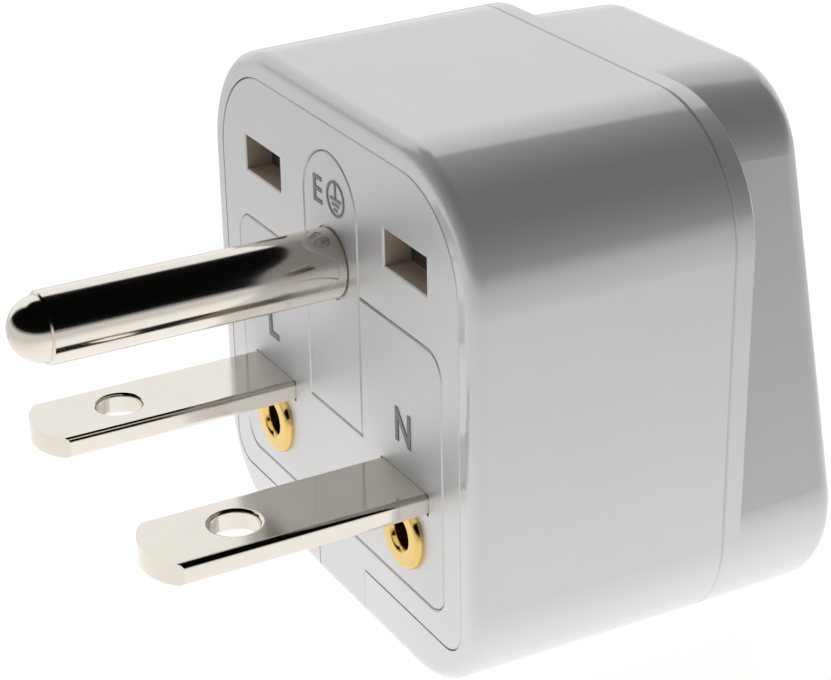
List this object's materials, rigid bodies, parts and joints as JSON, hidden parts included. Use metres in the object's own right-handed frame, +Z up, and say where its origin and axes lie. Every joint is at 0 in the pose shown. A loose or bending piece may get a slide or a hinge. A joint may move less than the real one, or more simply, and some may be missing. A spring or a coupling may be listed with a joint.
{
  "type": "plug adapter",
  "caption": "Travel plug adapter: a round earth pin over two flat blades on a rounded off-white casing, with a universal socket in the back.",
  "frame": {"origin": "centre of the casing's flat base", "axes": "+X across the blades, +Y from the pins towards the socket face, +Z up"},
  "size_m": [0.0376, 0.0506, 0.0371],
  "materials": {
    "shell_plastic": "gloss moulded off-white",
    "plate_plastic": "satin moulded off-white",
    "block_plastic": "satin moulded off-white",
    "inner_plastic": "matt moulded",
    "pin_nickel": "nickel plated, polished",
    "rivet_brass": "bright turned brass",
    "contact_brass": "rolled strip",
    "screw_steel": "zinc plated"
  },
  "bodies": {
    "root": {"front_shell": "shell_plastic", "rear_shell": "shell_plastic", "pin_plate": "plate_plastic", "line_neutral_block": "block_plastic", "earth_block": "block_plastic", "contact_carrier": "inner_plastic", "earth_pin": "pin_nickel", "line_blade": "pin_nickel", "neutral_blade": "pin_nickel", "line_rivet": "rivet_brass", "neutral_rivet": "rivet_brass", "line_contact": "contact_brass", "neutral_contact": "contact_brass", "earth_contact": "contact_brass", "earth_washer": "contact_brass", "shell_screws": "screw_steel"}
  },
  "joints": []
}
